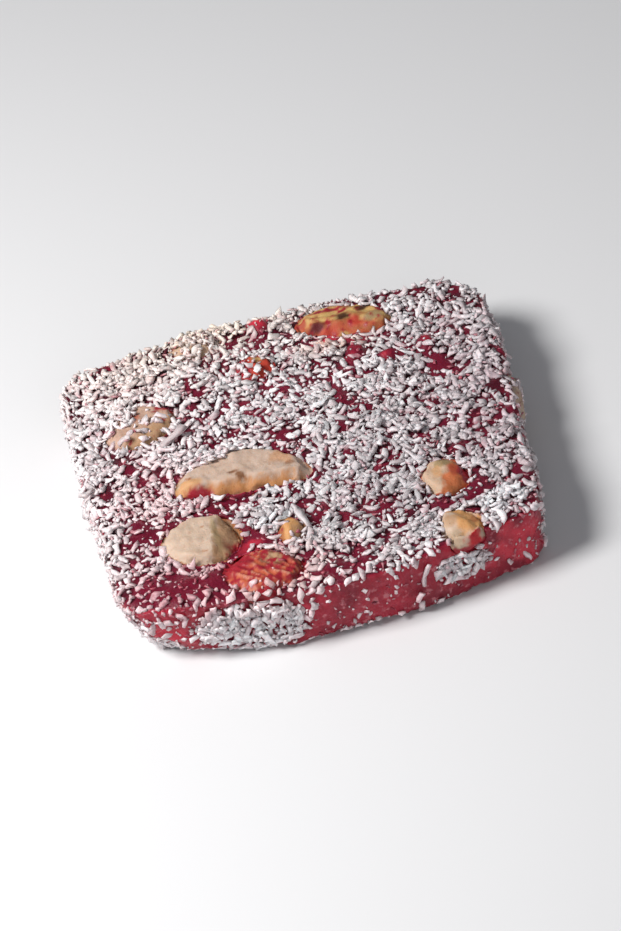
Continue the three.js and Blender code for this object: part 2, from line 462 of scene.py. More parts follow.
def coat_density(points, normals):
    """How thickly each point is coated."""
    usual = sum(COAT[side] * share for side, share in side_shares(normals).items())
    change = layered(points, PATCHES, SEEDS["patches"]) + total_at(points, SPOTS)
    density = usual * np.exp(change)
    for where, radii, amount in CLUMPS:
        density += amount * ramp(nearness(points, place(*where), radii), *CLUMP_EDGE)
    return np.minimum(density, THICKEST)


# ---- Jelly ----

JELLY_DEEP = (0.17, 0.006, 0.018)
JELLY_RED = (0.34, 0.014, 0.034)
JELLY_TOP_SHADE = (0.11, 0.004, 0.018)  # the uncut skin, painted darker than the cut walls as shade between the flakes on it
JELLY_SHADED = (0.036, 0.004, 0.009)  # and painted shade where it lies deep under the coat
JELLY_BRIGHT = (0.52, 0.03, 0.055)
JELLY_HAZE = (0.56, 0.13, 0.17)
JELLY_SPECK = (0.62, 0.25, 0.28)

# How strongly each layer of colour shows over the jelly's own two reds. The darker uncut skin and the dark
# under a thick coat are painted shade.
JELLY_LAYERS = {"haze": 0.22, "skin": 0.85, "coat_shade": 0.75, "specks": 0.5}
JELLY_RELIEF = [(0.14, 5), (0.07, 1.9), (0.03, 0.9)]  # how deep its dents are and how far apart
JELLY_OUTSIDE = {"facing": (0.2, 0.7), "depths": (1.6, 0.8)}  # what counts as its outside
BED_COAT = (0.1, 1.0)  # the thickness of coat that begins to sink into the jelly, and sinks in fully
COAT_SHADE_RANGE = (0.8, 1.8)  # and the one at which painted shade begins to darken it, and darkens it fully
UNCUT_TURN = (0.3, 0.8)  # how far up the way out points where the cut wall turns into the uncut top

# Where the jelly is thin and bright, and where light and highlights are painted onto it.
BRIGHT_JELLY_AND_PAINTED_LIGHT = [
    # painted light on the jelly between hazelnut and walnut, with a painted highlight in it
    ((-0.4, -0.64), (3, 3.6, 3), 0.36),
    ((-0.36, -0.6), (1, 0.9, 3), 0.3),
    ((-0.86, -0.9, 0.4), (3.6, 4, 3.5), 0.9),
    ((0.51, -0.9, 0.85), (2.2, 2.4, 3), 1),
    # painted light on the front right corner
    ((0.8, -0.92, 0.5), (11, 5, 6), 0.85),
    ((-0.03, 0.9), (2.4, 2.4, 3), 0.6),
    ((-0.1, 0.61), (3, 2.4, 3), 0.7),
    ((0.34, 0.53), (2.4, 2.4, 3), 0.6),
    ((0.48, 0.46), (3, 1.7, 3), 0.5),
    ((0.66, 0.48), (2, 2.2, 3), 0.6),
    ((0.26, 0.66), (5, 2.6, 3), 0.9),
]

# How deep hollows are in front of the nuts, in millimetres. Raised beads of jelly are less than nothing.
HOLLOWS = [
    ((-0.36, -0.31), (6.3, 1.6, 3), 1.8),
    ((-0.66, -0.7), (5, 1.6, 3), 0.6),
    ((-0.42, -0.6), (2.4, 3.4, 3), 0.6),
    ((-0.03, 0.9), (1.5, 1.5, 3), -0.7),
    ((0.34, 0.53), (1.6, 2, 3), -0.6),
    ((0.48, 0.46), (2.4, 1.2, 3), -0.7),
    ((0.66, 0.48), (1.4, 1.7, 3), -0.8),
    ((0.26, 0.66), (1.6, 1.3, 3), -0.6),
]


def jelly_material():
    paint = Paint("jelly")
    broad = paint.window(paint.noise(9), 0.35, 0.65)
    body = paint.blend(broad, JELLY_DEEP, JELLY_RED)
    haze = paint.window(paint.noise(1.3, 5), 0.45, 0.75)
    body = paint.blend(paint.times(haze, JELLY_LAYERS["haze"]), body, JELLY_HAZE)
    # Painted shade: the uncut top darker, and darker still where the coat over it is thick.
    for layer, colour in (("skin", JELLY_TOP_SHADE), ("coat_shade", JELLY_SHADED)):
        body = paint.blend(paint.times(paint.kept(layer), JELLY_LAYERS[layer]), body, colour)
    # Brighter jelly: thin in some places, painted light and painted highlights in others.
    bright_and_lit = paint.plus(paint.kept("bright_and_lit"), paint.window(paint.noise(4.5, 2), 0.3, 0.7, -0.25, 0.25))
    body = paint.blend(paint.window(bright_and_lit, 0.3, 0.8), body, JELLY_BRIGHT)
    specks = paint.window(paint.noise(1.1, 2), 0.57, 0.7)
    wall = paint.window(paint.kept("skin"), 0.6, 0)
    body = paint.blend(paint.times(paint.times(specks, wall), JELLY_LAYERS["specks"]), body, JELLY_SPECK)
    paint.set(
        Base_Color=body,
        Roughness=paint.window(paint.noise(2), 0.3, 0.7, 0.22, 0.45),
        Subsurface_Weight=0.4,
        Subsurface_Radius=(1, 0.22, 0.18),
        Subsurface_Scale=0.002,
        Specular_IOR_Level=0.24,
        Coat_Weight=0.06,
        Coat_Roughness=0.25,
        Normal=paint.bump(paint.noise(0.75, 4), 0.2),
    )
    return paint.material


def make_jelly(skin):
    """The jelly slab, which lies deeper under a thicker coat, with slow dents all over."""
    mesh = evened("jelly_body", [SLAB], *JELLY_MESH)
    points, normals = points_of(mesh), normals_of(mesh)
    outside, outward = skin.outside(points, normals, **JELLY_OUTSIDE)
    density = coat_density(points, outward)
    bed = COAT_BED * ramp(density, *BED_COAT) + total_at(points, HOLLOWS)
    relief = layered(points, JELLY_RELIEF, SEEDS["jelly"])
    points += normals * relief[:, None] - outward * (bed * outside)[:, None]
    points[:, 2] = np.maximum(points[:, 2], CLEARANCE["jelly"])
    set_points(mesh, points)
    uncut = ramp(outward[:, 2], *UNCUT_TURN)
    store(mesh, "bright_and_lit", np.minimum(total_at(points, BRIGHT_JELLY_AND_PAINTED_LIGHT), 1))
    # Where the material paints shade: the uncut top, and under a thick coat.
    store(mesh, "skin", uncut)
    store(mesh, "coat_shade", ramp(density, *COAT_SHADE_RANGE) * uncut)
    jelly = show(mesh)
    mesh.materials.append(jelly_material())
    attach(jelly, "root")
    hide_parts(SLAB)
    return jelly


# ---- Nuts ----

CREAM = (0.53, 0.4, 0.31)
IVORY = (0.5, 0.372, 0.298)
PALE = (0.515, 0.365, 0.262)
TAN = (0.43, 0.26, 0.15)
AMBER = (0.56, 0.29, 0.115)
HONEY = (0.47, 0.215, 0.085)
GOLD = (0.52, 0.34, 0.13)
OLIVE = (0.3, 0.215, 0.11)
BROWN = (0.055, 0.02, 0.008)
UMBER = (0.205, 0.084, 0.034)
MAROON = (0.105, 0.01, 0.012)
RUSSET = (0.33, 0.12, 0.045)
RUST = (0.36, 0.07, 0.035)
PINK = (0.47, 0.31, 0.24)
ORANGE = (0.5, 0.15, 0.06)
EMBER = (0.46, 0.1, 0.045)
VERMILION = (0.42, 0.045, 0.026)
ROSE = (0.63, 0.32, 0.235)
SCARLET = (0.48, 0.022, 0.03)
FILM = (0.3, 0.016, 0.028)


def nut_look(face, flank, film, facets=(), marks=(), **more):
    """How a nut looks.

    face and flank are colours, and film is how much red film is on it. facets are broken parts of its face:
    (heading in degrees, start as a share of the half size, slope, colour). marks are (colour, (u, v) from -1
    to 1 across the nut, radii, strength). There may be more: ridges as (heading, distance apart, colour);
    groove, the depth of a cashew's groove; sunk, the share of the height that is under film; and creep, how
    far film comes in over the rim. Lengths are in millimetres.
    """
    return {"face": face, "flank": flank, "film": film, "facets": facets, "marks": marks, **more}


NUT_LOOKS = {
    "cashew_middle": nut_look(
        # Its honey bevel on the front side is its own colour and partly painted shade; the umber and russet
        # line along its front lower edge is partly its own brown and partly painted shadow under that edge.
        IVORY, RUSSET, 0, facets=[(-97, 0.42, 1.1, HONEY)], groove=0.25,
        marks=[
            (AMBER, (-0.72, -0.2), (2.4, 1.4), 0.8), (OLIVE, (-0.92, -0.02), (1.4, 0.9), 0.6),
            (FILM, (-0.66, -0.54), (2.7, 1.3), 1), (UMBER, (-0.08, -0.16), (1, 0.7), 0.9),
            (UMBER, (0, -0.36), (0.8, 0.8), 0.9), (UMBER, (0.7, -0.3), (0.9, 0.6), 0.7),
            (UMBER, (0.22, -0.74), (1.6, 0.5), 1), (RUSSET, (-0.32, -0.7), (4, 0.5), 0.9),
            (UMBER, (-0.12, -0.73), (1.3, 0.4), 1), (HONEY, (0.62, 0.05), (2.2, 1.8), 0.6),
        ],
    ),
    "hazelnut_front_left": nut_look(
        # The darker tan facet on its right is its own colour and partly painted shade on that side.
        CREAM, RUSSET, 0, facets=[(-15, 0.28, 0.55, TAN)],
        marks=[(OLIVE, (0.36, 0), (0.6, 5), 0.7), (FILM, (0.86, -0.62), (2.4, 3), 1)],
    ),
    "cashew_back_left": nut_look(
        PINK, TAN, 0.15, facets=[(-60, 0.3, 0.4, TAN)], groove=0.2,
        marks=[(RUST, (-0.15, 0.35), (1.2, 1.7), 0.8), (FILM, (0.75, 0.6), (1.6, 1.6), 1)],
    ),
    "nut_piece_right": nut_look(
        PALE, RUST, 0.05, facets=[(-20, -0.12, 0.3, ORANGE)],
        marks=[
            (OLIVE, (-0.02, 0.48), (1.7, 1.2), 0.9), (BROWN, (0.02, 0.66), (0.7, 0.4), 0.9),
            (AMBER, (-0.35, 0.1), (1, 1.4), 0.6), (VERMILION, (0.32, 0.05), (1.1, 1.5), 0.6),
            (RUSSET, (0.1, -0.8), (1.6, 0.6), 0.6), (FILM, (0.76, 0.05), (1.2, 2.6), 1),
        ],
    ),
    "nut_piece_front_right": nut_look(
        CREAM, PALE, 0.08,
        facets=[(30, -0.05, 0.35, AMBER), (-110, 0.1, 0.45, CREAM)],
        marks=[
            (AMBER, (0.25, -0.1), (2.2, 2.6), 1), (RUSSET, (0.6, 0.05), (0.7, 1), 0.8),
            (TAN, (-0.5, 0.05), (1.3, 1.3), 0.8), (OLIVE, (-0.5, -0.7), (1.5, 1.4), 0.4),
            (SCARLET, (0.48, -0.98), (1.8, 1.7), 1),
        ],
        sunk=0.5,
    ),
    "walnut_front": nut_look(
        EMBER, FILM, 0.46, ridges=(40, 1.15, ROSE),
        marks=[
            (VERMILION, (0.62, 0.1), (1.4, 3), 0.5), (BROWN, (0.28, 0.3), (2.6, 2.5), 0.8),
            (TAN, (0.28, 0.3), (1.9, 1.7), 0.95), (FILM, (-0.6, 0.5), (3.4, 3.4), 1),
            (FILM, (-0.1, -0.95), (4, 1.6), 1),
        ],
    ),
    "nut_piece_front": nut_look(
        AMBER, RUSSET, 0.1, facets=[(-30, 0.1, 0.6, TAN)],
        marks=[(RUSSET, (-0.9, 0), (0.8, 3), 0.9), (RUSSET, (0.5, 0.7), (1.2, 0.6), 0.8)],
    ),
    "nut_piece_back": nut_look(
        VERMILION, FILM, 0.3, ridges=(25, 1.6, VERMILION),
        marks=[(GOLD, (0.2, 0.2), (1.2, 1), 0.9), (FILM, (-0.7, 0), (1.6, 2.6), 1)],
    ),
    "hazelnut_back_edge": nut_look(PALE, TAN, 0.2),
    "almond_back_right": nut_look(
        GOLD, RUST, 0.3, facets=[(-105, 0.1, 0.5, EMBER)],
        ridges=(78, 1.9, RUSSET),
        marks=[
            (FILM, (-0.28, 0.52), (3.6, 0.6), 1), (FILM, (0.8, 0.02), (1.3, 1.4), 1),
            (RUST, (-0.82, 0.28), (1, 0.9), 1), (BROWN, (-0.02, -0.08), (1.4, 0.9), 1),
            (BROWN, (0.4, 0.26), (1.3, 0.9), 1), (OLIVE, (0.58, -0.34), (1.9, 1.2), 0.9),
            (MAROON, (-0.55, -0.14), (1.5, 0.8), 1), (VERMILION, (-0.36, -0.45), (2, 0.9), 0.9),
            (VERMILION, (0.18, -0.36), (1.3, 1), 0.9), (GOLD, (-0.08, -0.7), (1, 0.7), 0.9),
            (TAN, (-0.75, -0.35), (0.9, 0.6), 0.8),
        ],
    ),
    "cashew_under_middle": nut_look(
        IVORY, HONEY, 0.12, facets=[(70, 0.15, 0, TAN)], creep=1.5,
        marks=[(UMBER, (-0.3, 0.1), (1.2, 0.7), 0.9), (HONEY, (0.6, -0.2), (2.6, 1.8), 0.7)],
    ),
    "hazelnut_under_left": nut_look(
        CREAM, RUSSET, 0.12, facets=[(-40, 0.25, 0, TAN)], creep=1.6,
        marks=[(OLIVE, (0.3, 0.2), (1, 3), 0.5), (AMBER, (-0.5, -0.4), (1.8, 1.6), 0.7)],
    ),
    "hazelnut_under_front": nut_look(
        PALE, RUST, 0.15, facets=[(130, 0.05, 0, CREAM)], creep=1.8,
        marks=[(RUSSET, (0.5, -0.3), (1.3, 0.8), 0.9), (UMBER, (-0.1, 0.35), (0.9, 0.7), 0.8)],
    ),
}
PLAIN_LOOK = nut_look(CREAM, TAN, 0.1, creep=1.2)

NUT_DOME = 0.45  # how far a cut face falls off towards its rim
RIDGE_DEPTH = 0.25
GROOVE_WIDTH, GROOVE_ENDS = 0.16, (0.75, 0.35)  # as shares of the nut's half width and half length
MOST_CARVED = 2.2
NUT_RELIEF = [(0.1, 2.8), (0.05, 1)]
NUT_OUTSIDE = {"facing": (0.45, 0.85), "depths": (1.2, 0.5)}  # what counts as its cut face
CARVED_TURN = (0.5, 0.9)  # how far up the way out points where carving begins and is full

# How uneven facets, ridges, creeping film and the edges of colours are.
FACET_WAVER = [(0.22, 2.6)]
RIDGE_WAVER = [(0.35, 3)]
CREEP_WAVER = [(0.6, 3.2)]
RAGGED = [(0.3, 1.6), (0.2, 0.8)]

# How each colour begins: how much of the ragged swell it takes, and from where to where it fades in.
EDGES = {
    "face": (0.6, 0.35, 0.75), "facet": (0.8, -0.1, 0.8), "ridge": (0.3, 0.55, 0.95),
    "film": (0.55, 0.35, 0.6), "sunk": (0.12, 0.05, -0.05), "creep": (0.5, -0.1, 0.2),
    "mark": (0.35, 0.25, 0.7),
}
MARK_REACH = 0.05  # the nearness to a mark below which it has no effect
RIDGE_COLOUR = 0.7  # how strongly a ridge's colour shows
FLANK_FILM = 0.2  # how much more film there is on the flanks
USUAL_CREEP = 0.4


def nut_material():
    """Nut flesh, whose base colour and film are kept with the mesh; grain and pores come from here."""
    paint = Paint("nut_flesh")
    base = paint.kept("base", "Color")
    grain = paint.window(paint.noise(1.3, 5), 0.3, 0.75)
    colour = paint.blend(paint.times(grain, 0.45), base, (0.8, 0.7, 0.6), "MULTIPLY")
    pores = paint.window(paint.cells(1.1), 0.16, 0.04)
    colour = paint.blend(paint.times(pores, 0.35), colour, BROWN)
    film = paint.kept("film")
    paint.set(
        Base_Color=colour,
        Roughness=paint.window(film, 0, 1, 0.62, 0.32),
        Subsurface_Weight=0.2,
        Subsurface_Radius=(1, 0.5, 0.3),
        Subsurface_Scale=0.0007,
        Specular_IOR_Level=0.25,
        Normal=paint.bump(paint.noise(0.35, 4), 0.08),
    )
    return paint.material


def beyond_facet(points, box, heading, start):
    """How far each point lies past the line where a facet begins, in millimetres."""
    middle, half = box
    along = level_vector(heading)
    reach = np.hypot(*(along * half[:2]))
    uneven = layered(points, FACET_WAVER, SEEDS["facets"])
    return (points[:, :2] - middle[:2]) @ along - start * reach + uneven


def ridge_height(points, heading, pitch):
    """Uneven parallel ridges, from 0 in a furrow to 1 on a crest."""
    phase = points[:, :2] @ level_vector(heading) / pitch + layered(points, RIDGE_WAVER, SEEDS["ridges"])
    return 0.5 + 0.5 * np.sin(2 * math.pi * phase)


def carved(points, cut, box, look):
    """How far each point of a nut's face drops for its dome, its broken facets and a cashew's groove."""
    middle, half = box
    offset = (points - middle) / half
    drop = NUT_DOME * (offset[:, :2] ** 2).sum(axis=1)
    for heading, start, slope, _ in look["facets"]:
        drop += slope * np.maximum(beyond_facet(points, box, heading, start), 0)
    if "ridges" in look:
        drop += RIDGE_DEPTH * (1 - ridge_height(points, *look["ridges"][:2]))
    if "groove" in look:
        across = np.exp(-((offset[:, 1] / GROOVE_WIDTH) ** 2))
        drop += look["groove"] * across * ramp(np.abs(offset[:, 0]), *GROOVE_ENDS)
    return np.minimum(drop * cut, MOST_CARVED)


def inland(points, cut):
    """How far each point of a nut lies from the rim of its cut face, in millimetres."""
    rim = points[cut < 0.5]
    tree = KDTree(len(rim))
    for i, point in enumerate(rim):
        tree.insert(point, i)
    tree.balance()
    return np.array([tree.find(point)[2] for point in points])


def edge(kind, values, ragged):
    """How far a colour has come in at each point, past an edge of this kind."""
    roughness, low, high = EDGES[kind]
    return ramp(values + roughness * ragged, low, high)


def film_on(points, cut, box, look, ragged, seed):
    """How much red film each point of a nut has: in patches, where it is sunk, and creeping over its rim."""
    middle, half = box
    film = edge("film", look["film"] + FLANK_FILM * (1 - cut), ragged)
    if "sunk" in look:
        height = ((points - middle)[:, 2] / half[2] + 1) / 2
        film = np.maximum(film, edge("sunk", height - look["sunk"], ragged))
    if "creep" in look:
        reach = look["creep"] * (USUAL_CREEP + layered(points, CREEP_WAVER, seed))
        film = np.maximum(film, edge("creep", reach - inland(points, cut), ragged))
    return film


def nut_colours(points, cut, box, look, seed):
    """Each point's base colour, and how much wet film is on it."""
    middle, half = box
    ragged = layered(points, RAGGED, seed)
    colours = np.tile(np.array(look["face"]), (len(points), 1))
    for heading, start, _, colour in look["facets"]:
        colours = tinted(colours, colour, edge("facet", beyond_facet(points, box, heading, start), ragged))
    colours = tinted(colours, look["flank"], 1 - edge("face", cut, ragged))
    if "ridges" in look:
        heading, pitch, colour = look["ridges"]
        crest = edge("ridge", ridge_height(points, heading, pitch), ragged)
        colours = tinted(colours, colour, crest * RIDGE_COLOUR)
    film = film_on(points, cut, box, look, ragged, seed + len(RAGGED))
    wet = film
    for colour, where, radii, strength in look["marks"]:
        near = nearness(points[:, :2], middle[:2] + np.array(where) * half[:2], radii)
        share = strength * edge("mark", near, ragged * (near > MARK_REACH))
        colours = tinted(colours, colour, share)
        if colour is FILM:
            wet = np.maximum(wet, share)
    return tinted(colours, FILM, film), wet


def make_nut(name, skin, material, seed):
    """A cut nut: it fills its pocket, and its cut face is slightly domed, broken and grained."""
    look = NUT_LOOKS.get(name, PLAIN_LOOK)
    mesh = evened(name + "_flesh", [name], *NUT_MESH)
    points, normals = points_of(mesh), normals_of(mesh)
    cut, outward = skin.outside(points, normals, **NUT_OUTSIDE)
    points += normals * (NUT_GROWTH * (1 - cut))[:, None]
    box = centred(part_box(name))
    points[:, 2] -= carved(points, cut * ramp(outward[:, 2], *CARVED_TURN), box, look)
    points += normals * layered(points, NUT_RELIEF, seed)[:, None]
    points[:, 2] = np.maximum(points[:, 2], CLEARANCE["nut"])
    set_points(mesh, points)
    colours, film = nut_colours(points, cut, box, look, seed + len(NUT_RELIEF))
    store(mesh, "base", colours)
    store(mesh, "film", film)
    nut = show(mesh)
    mesh.materials.append(material)
    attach(nut, "root")
    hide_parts(name)
    return nut


# ---- Coconut: where it lands ----

# How much of the coat sticks to each piece, where it isn't a nut's usual share, and the places and radii of
# drifts that stick on any nut.
STICKING = {
    "jelly_body": 1, "cashew_middle": 0, "hazelnut_front_left": 0, "walnut_front": 0.06,
    "nut_piece_front": 0.05, "cashew_back_left": 0.09, "nut_piece_right": 0, "nut_piece_front_right": 0,
    "nut_piece_back": 0.22, "hazelnut_back_edge": 1, "almond_back_right": 0,
}
DRIFTS = [
    ((-0.46, 0.05), (5.2, 2.8, 3)),
    ((-0.8, 0.46), (4.4, 3.5, 3)),
    ((-0.32, -0.98, 0.9), (6, 2.2, 3)),
]
DRIFT_EDGE = (0.25, 0.5)  # the nearness to a drift at which it begins and is whole
USUAL_STICKING = 0.2
OPEN_DEPTH, OPEN_FACING = 1.7, 0.25  # open ground lies no deeper and faces outward at least so much

# Each kind of flake: its name; how much of it falls; how much it keeps to thickly coated places; how late it
# falls; its length, width and thickness in millimetres; how many sections it has along its length; how far
# it stands up from the surface in degrees; how much more red juice than usual it has taken up; and, above 1,
# how much rarer its long flakes are than its short ones.
KIND_FIELDS = (
    "name", "cover", "crowding", "late", "length", "width", "thick", "sections", "tilt", "wetness", "rarity",
)
KIND_ROWS = [
    ("coconut_flakes", 0.8, 1.25, 0, (1.1, 2.4), (0.75, 1.25), (0.3, 0.55), 4, 16, 0, 1),
    ("coconut_chips", 0.3, 1.25, 0.1, (1, 1.7), (0.85, 1.3), (0.22, 0.4), 4, 16, 0, 1),
    ("coconut_crumbs", 0.19, 0.75, 0.5, (0.45, 0.95), (0.4, 0.72), (0.25, 0.45), 3, 25, 0, 1),
    ("coconut_dust", 0.035, 0.35, 0.5, (0.2, 0.5), (0.18, 0.4), (0.14, 0.3), 2, 35, 0, 1),
    ("coconut_shreds", 0.1, 1.25, 0.25, (2.4, 5), (0.55, 0.95), (0.28, 0.45), 6, 8, 0, 2.2),
    ("coconut_grit", 0.16, 0.8, 2, (0.45, 1.05), (0.35, 0.7), (0.12, 0.24), 2, 14, 0.75, 1),
]
KINDS = [dict(zip(KIND_FIELDS, row)) for row in KIND_ROWS]
FOOTPRINT = 0.8  # the share of its length times its width that a flake covers
ROOM = (0.1, 0.27)  # how much a flake may overlap its neighbours at no coat, and more for each unit of it
MOST_ROOM = 0.72
PACKING = 0.75  # the share of a flake's thickness that the next one is lifted by


class Ground:
    """The open surface of jelly and nuts that flakes can lie on."""

    def __init__(self, jelly, nuts, skin):
        meshes = [thing.data for thing in [jelly, *nuts]]
        points, faces = joined(meshes)
        normals = np.concatenate([normals_of(mesh) for mesh in meshes])
        centres = points[faces].mean(axis=1)
        facing = unit(normals[faces].sum(axis=1))
        depth, outward = skin.nearest(centres)
        is_open = (depth < OPEN_DEPTH) & ((facing * outward).sum(axis=1) > OPEN_FACING)
        self.points, self.normals, self.faces = points, normals, faces[is_open]
        a, b, c = (points[self.faces[:, k]] for k in range(3))
        self.area = np.linalg.norm(np.cross(b - a, c - a), axis=1) / 2
        self.density = coat_density(centres[is_open], facing[is_open])
        sticking = [STICKING.get(mesh.name.removesuffix("_flesh"), USUAL_STICKING) for mesh in meshes]
        hold = np.repeat(sticking, [len(mesh.loop_triangles) for mesh in meshes])[is_open]
        for where, radii in DRIFTS:
            hold = np.maximum(hold, ramp(nearness(centres[is_open], place(*where), radii), *DRIFT_EDGE))
        self.hold = self.area * hold

    def scatter(self, kind, rng):
        """Random points where a kind of flake falls, with their normals and the coat's thickness there."""
        footprint = np.mean(kind["length"]) * np.mean(kind["width"]) * FOOTPRINT
        count = int(kind["cover"] * (self.hold * self.density).sum() / footprint)
        weight = self.hold * self.density ** kind["crowding"]
        chosen = rng.choice(len(self.faces), count, p=weight / weight.sum())
        share = rng.uniform(size=(count, 2))
        flip = share.sum(axis=1) > 1
        share[flip] = 1 - share[flip]
        corners = np.column_stack([1 - share.sum(axis=1), share])[:, :, None]
        points = (self.points[self.faces[chosen]] * corners).sum(axis=1)
        normals = unit((self.normals[self.faces[chosen]] * corners).sum(axis=1))
        return points, normals, self.density[chosen]


def flake_sizes(kind, count, rng):
    """The length, width and thickness of that many flakes of a kind."""
    shares = rng.uniform(size=(count, 3))
    shares[:, 0] **= kind["rarity"]
    low, high = (np.array([kind[key][end] for key in ("length", "width", "thick")]) for end in (0, 1))
    return low + (high - low) * shares


def settled(points, sizes, coat, order):
    """How high each flake lies when they fall in this order, or -1 where one finds no room to stick."""
    tree = KDTree(len(points))
    for i, point in enumerate(points):
        tree.insert(point, i)
    tree.balance()
    reach = (sizes[:, :2].mean(axis=1) / 2).tolist()
    longest = max(reach)
    thick = (PACKING * sizes[:, 2]).tolist()
    room = np.minimum(ROOM[0] + ROOM[1] * coat, MOST_ROOM).tolist()
    lift = [-1.0] * len(points)
    for i in order.tolist():
        height = 0.0
        for _, j, distance in tree.find_range(points[i], reach[i] + longest):
            closeness = 1 - (distance / (reach[i] + reach[j])) ** 2
            if lift[j] < 0 or closeness <= 0:
                continue
            if closeness > room[i]:
                break
            height = max(height, lift[j] + thick[j] * closeness)
        else:
            lift[i] = min(height, PILE_LIMIT)
    return np.array(lift)


def scattered(ground):
    """For each kind, what flakes stick: points, normals, guides, sizes, heights and the coat's thickness."""
    rng = np.random.default_rng(SEEDS["landing"])
    fallen = [ground.scatter(kind, rng) for kind in KINDS]
    counts = [len(points) for points, _, _ in fallen]
    sizes = [flake_sizes(kind, count, rng) for kind, count in zip(KINDS, counts)]
    lateness = [rng.uniform(size=count) + kind["late"] for kind, count in zip(KINDS, counts)]
    points, normals, coat = (np.concatenate(column) for column in zip(*fallen))
    size = np.concatenate(sizes)
    lift = settled(points, size, coat, np.argsort(np.concatenate(lateness)))
    kind_of = np.repeat(np.arange(len(KINDS)), counts)
    guide = unit(rng.normal(size=points.shape))
    stuck = [(kind_of == k) & (lift >= 0) for k in range(len(KINDS))]
    columns = (points, normals, guide, size, lift, coat)
    return [tuple(column[rows] for column in columns) for rows in stuck]


# ---- Coconut: the flakes ----

FLAKE_WHITE = np.array([0.8, 0.765, 0.775])
FLAKE_PINK = np.array([0.62, 0.32, 0.37])
FLAKE_RED = np.array([0.34, 0.05, 0.08])

# How red juice soaks in: its spread over flakes (a beta distribution), how much more there is in a thin
# coat, between which thicknesses, and how far above the jelly it reaches.
SOAKING = (0.8, 2.4)
THIN_COAT_JUICE, THIN_COAT = 0.22, (1.1, 0.3)
JUICE_REACH = (0.4, -0.05)
PINK_SHARES = (0.75, 0.5)  # how much pinker a flake gets from being soaked, and from being near the jelly
PINK_LIMIT = 0.42  # how pink the pinkest flake gets
RED_FROM, RED_GAIN = 0.4, 1.8  # how soaked a flake is when it begins to turn red, and how fast it does
TINT_SPREAD = (0.5, 1.2)
BRIGHTNESS = (0.67, 1.15)
CLOUDS = [(0.08, 6)]  # slow changes of brightness: how much, and over what length

# Where the flakes take on another colour, some of it painted light and shade: place, radii, colour and
# strength.
TINTS_AND_PAINTED_LIGHT = [
    # partly yellowish coconut, partly painted light at the back left
    ((-0.35, 0.93), (18, 6, 6), (0.95, 0.76, 0.58), 0.75),
    ((-0.65, 0.72), (12, 10, 6), (0.95, 0.8, 0.74), 0.75),
    ((-0.36, -0.84), (9, 6, 4), (0.7, 0.29, 0.23), 1),
    ((0.26, 0.64), (6, 3, 3), (0.76, 0.36, 0.2), 0.6),
    # painted shade, greyer towards the front right and along the right
    ((0.36, -0.44), (24, 20, 5), (0.46, 0.44, 0.46), 0.75),
    ((0.85, 0.1), (11, 26, 5), (0.48, 0.41, 0.44), 0.83),
    ((-0.7, -0.25), (9, 18, 5), (0.88, 0.62, 0.63), 0.85),
    ((-0.68, -0.83), (11, 8.5, 4), (0.54, 0.25, 0.28), 0.95),
    ((0.3, -0.95, 0.4), (26, 4, 4), (0.78, 0.55, 0.58), 0.6),
    # whiter clumps on the front wall: unsoaked coconut, and partly painted light on that dimmer wall
    ((-0.48, -0.98, 0.44), (9.5, 5, 5), (0.92, 0.92, 0.94), 0.9),
    ((0.46, -0.92, 0.49), (4.6, 4, 3), (0.92, 0.92, 0.94), 0.9),
    ((0.69, -0.7), (3.6, 3, 4), (0.88, 0.89, 0.92), 0.9),
    ((-0.27, -0.5), (2.6, 2, 4), (0.9, 0.91, 0.94), 0.9),
]

# Single long shreds: share (u, v), heading in degrees, length, width and thickness in millimetres.
LONE_SHREDS = [((-0.14, -0.53), -75, (6, 1.1, 0.45)), ((-0.58, 0.21), 37, (7.2, 1.3, 0.5))]
SHRED_LIFT = 0.5
SHRED_DROP = 2.0  # the share of the slab's height that a lone shred falls from

# How flakes vary, as shares of their size: the width of their ends and of their upper side, and how far
# their ends slant, how far they bend aside and up, and how rough they are. WRING is their twist in radians.
END_WIDTH = (0.45, 1.15)
UPPER_WIDTH = (0.55, 1.0)
THINNING = 0.4  # how much of its thickness a flake loses where it has no width
SLANT = 0.5
BEND_ASIDE = 0.07
BEND_UP = (0.02, 0.07)
WRING = 0.6
ROUGHNESS = 0.085
UNDER_TURN = (-0.4, -0.8)  # how far down a normal points where the underside begins and is whole
UNDER_TILT = 1.5  # on the underside flakes lie this flat, in degrees
RESTING = 0.25  # how far a flake is raised, as a share of its thickness


def strip_template(sections):
    """Corner shares of a flat bar with that many sections, and its triangles."""
    along = np.repeat(np.linspace(-0.5, 0.5, sections), 4)
    across = np.tile([-0.5, 0.5, 0.5, -0.5], sections)
    up = np.tile([-0.5, -0.5, 0.5, 0.5], sections)
    quads = []
    for k in range(sections - 1):
        for i in range(4):
            j = (i + 1) % 4
            quads.append((4 * k + i, 4 * k + j, 4 * k + 4 + j, 4 * k + 4 + i))
    quads.append((0, 3, 2, 1))
    last = 4 * (sections - 1)
    quads.append((last, last + 1, last + 2, last + 3))
    triangles = [corner for a, b, c, d in quads for corner in ((a, d, c), (a, c, b))]
    return np.column_stack([along, across, up]), np.array(triangles)


def flake_axes(normals, guide, tilt, rng):
    """The axes of each flake: along it (square to its guide), across it and out of the surface."""
    count = len(normals)
    along = unit(np.cross(normals, guide))
    lift = (np.radians(tilt) * rng.normal(size=count))[:, None]
    raised = unit(along * np.cos(lift) + normals * np.sin(lift))
    across = unit(np.cross(normals, raised))
    out = np.cross(raised, across)
    roll = (np.radians(tilt) * rng.normal(size=count))[:, None]
    rolled = across * np.cos(roll) + out * np.sin(roll)
    return np.stack([raised, rolled, np.cross(raised, rolled)], axis=1)


